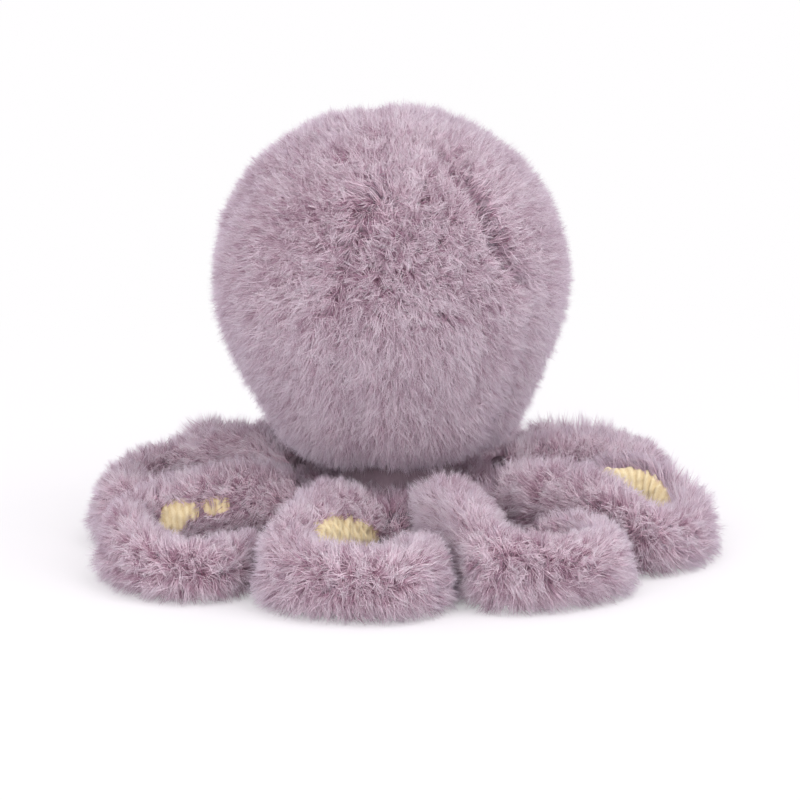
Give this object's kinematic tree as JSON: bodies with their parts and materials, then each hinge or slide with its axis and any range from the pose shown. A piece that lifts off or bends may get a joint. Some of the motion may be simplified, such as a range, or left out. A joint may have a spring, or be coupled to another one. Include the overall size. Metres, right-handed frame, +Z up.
{
  "type": "plush octopus",
  "caption": "Small plush octopus with a balloon-shaped fur head on a low body, ringed by curled fur arms with ribbed cord undersides; it sits flat on a table.",
  "frame": {"origin": "middle of the body's flat underside, on the surface that the toy sits on", "axes": "+Z up through the head; the face looks along -Y, and the pictured back is on the +Y side"},
  "size_m": [0.1777, 0.1782, 0.1288],
  "materials": {
    "lilac_fur": "matte",
    "yellow_cord": "matte",
    "polyester_fill": "matte",
    "pouch_cloth": "matte",
    "eye_black": "gloss",
    "washer_white": "satin"
  },
  "bodies": {
    "body": {"body_cover": "lilac_fur", "body_stuffing": "polyester_fill", "body_underside": "yellow_cord", "pellet_pouch": "pouch_cloth"},
    "head": {"head_panel_back_right": "lilac_fur", "head_panel_right": "lilac_fur", "head_panel_front": "lilac_fur", "head_panel_left": "lilac_fur", "head_panel_back_left": "lilac_fur", "head_stuffing": "polyester_fill", "eye_right": "eye_black", "eye_left": "eye_black", "eye_washer_right": "washer_white", "eye_washer_left": "washer_white"},
    "arm_back": {"arm_back_fur": "lilac_fur", "arm_back_underside": "yellow_cord", "arm_back_stuffing": "polyester_fill"},
    "arm_back_right": {"arm_back_right_fur": "lilac_fur", "arm_back_right_underside": "yellow_cord", "arm_back_right_stuffing": "polyester_fill"},
    "arm_right": {"arm_right_fur": "lilac_fur", "arm_right_underside": "yellow_cord", "arm_right_stuffing": "polyester_fill"},
    "arm_front_right": {"arm_front_right_fur": "lilac_fur", "arm_front_right_underside": "yellow_cord", "arm_front_right_stuffing": "polyester_fill"},
    "arm_front": {"arm_front_fur": "lilac_fur", "arm_front_underside": "yellow_cord", "arm_front_stuffing": "polyester_fill"},
    "arm_front_left": {"arm_front_left_fur": "lilac_fur", "arm_front_left_underside": "yellow_cord", "arm_front_left_stuffing": "polyester_fill"},
    "arm_left": {"arm_left_fur": "lilac_fur", "arm_left_underside": "yellow_cord", "arm_left_stuffing": "polyester_fill"},
    "arm_back_left": {"arm_back_left_fur": "lilac_fur", "arm_back_left_underside": "yellow_cord", "arm_back_left_stuffing": "polyester_fill"}
  },
  "joints": [
    {"name": "head_nod", "type": "hinge", "parent": "body", "child": "head", "pos_m": [0, 0, 0.028], "axis": [1, 0, 0], "range_deg": [-10, 10], "stiffness_Nm_per_rad": 0.4},
    {"name": "arm_back_lift", "type": "hinge", "parent": "body", "child": "arm_back", "pos_m": [0.0019, 0.03625, 0.022], "axis": [0.9986, -0.0523, 0], "range_deg": [0, 35], "stiffness_Nm_per_rad": 0.02},
    {"name": "arm_back_right_lift", "type": "hinge", "parent": "body", "child": "arm_back_right", "pos_m": [-0.02429, 0.02698, 0.022], "axis": [0.7431, 0.6691, 0], "range_deg": [0, 35], "stiffness_Nm_per_rad": 0.02},
    {"name": "arm_right_lift", "type": "hinge", "parent": "body", "child": "arm_right", "pos_m": [-0.03625, 0.0019, 0.022], "axis": [0.0523, 0.9986, 0], "range_deg": [0, 35], "stiffness_Nm_per_rad": 0.02},
    {"name": "arm_front_right_lift", "type": "hinge", "parent": "body", "child": "arm_front_right", "pos_m": [-0.02698, -0.02429, 0.022], "axis": [-0.6691, 0.7431, 0], "range_deg": [0, 35], "stiffness_Nm_per_rad": 0.02},
    {"name": "arm_front_lift", "type": "hinge", "parent": "body", "child": "arm_front", "pos_m": [-0.0019, -0.03625, 0.022], "axis": [-0.9986, 0.0523, 0], "range_deg": [0, 35], "stiffness_Nm_per_rad": 0.02},
    {"name": "arm_front_left_lift", "type": "hinge", "parent": "body", "child": "arm_front_left", "pos_m": [0.02429, -0.02698, 0.022], "axis": [-0.7431, -0.6691, 0], "range_deg": [0, 35], "stiffness_Nm_per_rad": 0.02},
    {"name": "arm_left_lift", "type": "hinge", "parent": "body", "child": "arm_left", "pos_m": [0.03625, -0.0019, 0.022], "axis": [-0.0523, -0.9986, 0], "range_deg": [0, 35], "stiffness_Nm_per_rad": 0.02},
    {"name": "arm_back_left_lift", "type": "hinge", "parent": "body", "child": "arm_back_left", "pos_m": [0.02698, 0.02429, 0.022], "axis": [0.6691, -0.7431, 0], "range_deg": [0, 35], "stiffness_Nm_per_rad": 0.02}
  ]
}
